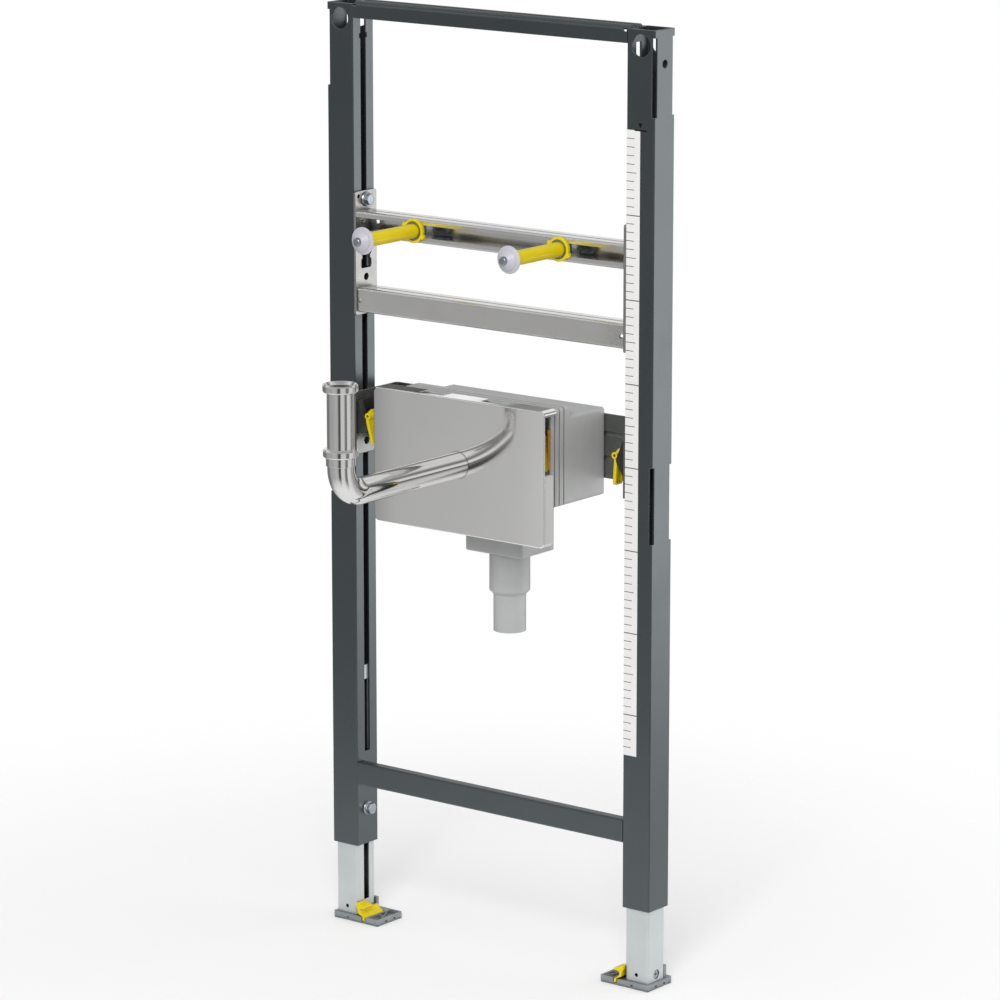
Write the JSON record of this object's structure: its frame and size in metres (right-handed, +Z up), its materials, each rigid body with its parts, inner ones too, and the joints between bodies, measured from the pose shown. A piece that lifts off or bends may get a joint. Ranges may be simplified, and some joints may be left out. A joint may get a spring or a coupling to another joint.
{
  "type": "basin installation frame",
  "caption": "Upright steel frame for a wash basin, with telescopic legs, a rail carrier with fixing studs, and a concealed trap with chrome cover plate and inlet pipe.",
  "frame": {"origin": "centre of the overall width and depth, on the floor under the foot plates", "axes": "+X across the frame to its right post, +Y from the basin side to the wall, +Z up"},
  "size_m": [0.492, 0.3748, 1.1605],
  "materials": {
    "powder_coat": "satin anthracite powder coat",
    "zinc": "bright zinc",
    "cast_sole": "grey cast metal",
    "bolt_steel": "zinc-plated steel",
    "galvanised": "galvanised sheet",
    "yellow_plastic": "yellow moulded plastic",
    "pale_plastic": "pale lavender-white plastic",
    "black_plastic": "black moulded plastic",
    "grey_plastic": "light grey moulded plastic",
    "amber_plastic": "amber plastic",
    "chrome": "polished chrome"
  },
  "bodies": {
    "frame": {"left_post": "powder_coat", "right_post": "powder_coat", "top_bar": "powder_coat", "bottom_bar": "powder_coat", "left_leg_bolt": "bolt_steel", "right_leg_bolt": "bolt_steel"},
    "left_leg": {"left_leg": "zinc", "left_foot_plate": "cast_sole", "left_foot_clip": "yellow_plastic", "left_foot_screw": "bolt_steel"},
    "right_leg": {"right_leg": "zinc", "right_foot_plate": "cast_sole", "right_foot_clip": "yellow_plastic", "right_foot_screw": "bolt_steel"},
    "basin_carrier": {"left_carrier_plate": "galvanised", "right_carrier_plate": "galvanised", "upper_rail": "galvanised", "lower_rail": "galvanised", "left_carrier_bolt": "bolt_steel", "right_carrier_bolt": "bolt_steel", "left_stud_nut": "bolt_steel", "right_stud_nut": "bolt_steel", "left_stud": "bolt_steel", "right_stud": "bolt_steel", "left_stud_washer": "bolt_steel", "right_stud_washer": "bolt_steel", "left_ring_clip": "yellow_plastic", "right_ring_clip": "yellow_plastic", "left_sleeve": "yellow_plastic", "right_sleeve": "yellow_plastic", "left_cap": "pale_plastic", "right_cap": "pale_plastic"},
    "trap_carrier": {"trap_bracket": "galvanised", "left_clamp_block": "black_plastic", "right_clamp_block": "black_plastic", "left_clamp_lever": "yellow_plastic", "right_clamp_lever": "yellow_plastic", "trap_box": "grey_plastic", "trap_collar": "grey_plastic", "cover_plate": "chrome", "left_cover_clip": "amber_plastic", "right_cover_clip": "amber_plastic", "outlet_body": "grey_plastic", "outlet_pipe": "grey_plastic", "inlet_pipe": "chrome", "union_nut": "chrome", "riser_tube": "chrome", "top_ring": "chrome"}
  },
  "joints": [
    {"name": "left_leg_slide", "type": "slide", "parent": "frame", "child": "left_leg", "axis": [0, 0, -1], "range_m": [-0.06, 0.14]},
    {"name": "right_leg_slide", "type": "slide", "parent": "frame", "child": "right_leg", "axis": [0, 0, -1], "range_m": [-0.06, 0.14]},
    {"name": "basin_carrier_slide", "type": "slide", "parent": "frame", "child": "basin_carrier", "axis": [0, 0, 1], "range_m": [-0.03, 0.15]},
    {"name": "trap_carrier_slide", "type": "slide", "parent": "frame", "child": "trap_carrier", "axis": [0, 0, 1], "range_m": [-0.15, 0.03]}
  ]
}
